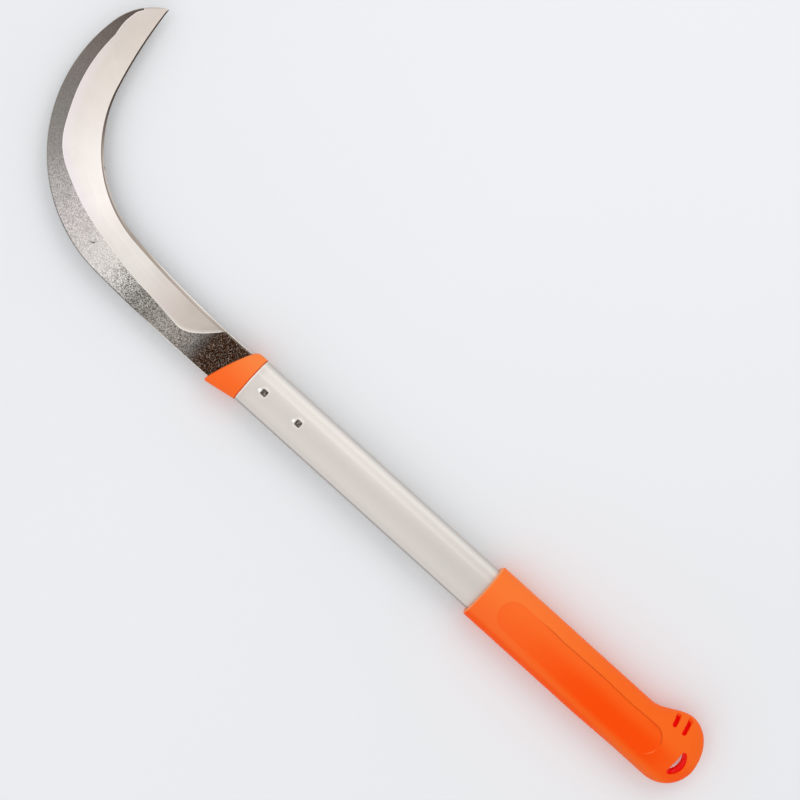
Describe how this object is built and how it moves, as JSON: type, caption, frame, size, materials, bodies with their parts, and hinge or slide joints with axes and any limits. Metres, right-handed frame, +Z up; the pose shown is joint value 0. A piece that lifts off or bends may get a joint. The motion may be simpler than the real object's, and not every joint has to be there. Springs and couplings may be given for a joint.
{
  "type": "brush sickle",
  "caption": "Long-handled brush sickle: a hooked, bevel-ground steel blade pinned in an oval aluminium tube, with a moulded nose plug and a moulded grip with a finger hook and a hanging hole.",
  "frame": {"origin": "centre of the bounding box in X and Y, on the lowest face of the grip, on which the tool lies", "axes": "+X along the handle from the grip to the blade, +Z up out of the flat of the blade on its bevelled side, cutting edge and tip towards -Y"},
  "size_m": [0.5984, 0.1609, 0.027],
  "materials": {
    "blade_steel": "bevels ground bright, back strip and heel left dark from the forge",
    "orange_plastic": "fine satin mould finish",
    "tube_aluminium": "satin anodised",
    "pin_steel": "dark, oiled"
  },
  "bodies": {
    "root": {"blade": "blade_steel", "nose_plug": "orange_plastic", "handle_tube": "tube_aluminium", "lock_pin_front": "pin_steel", "lock_pin_rear": "pin_steel", "grip_sleeve": "orange_plastic"}
  },
  "joints": []
}
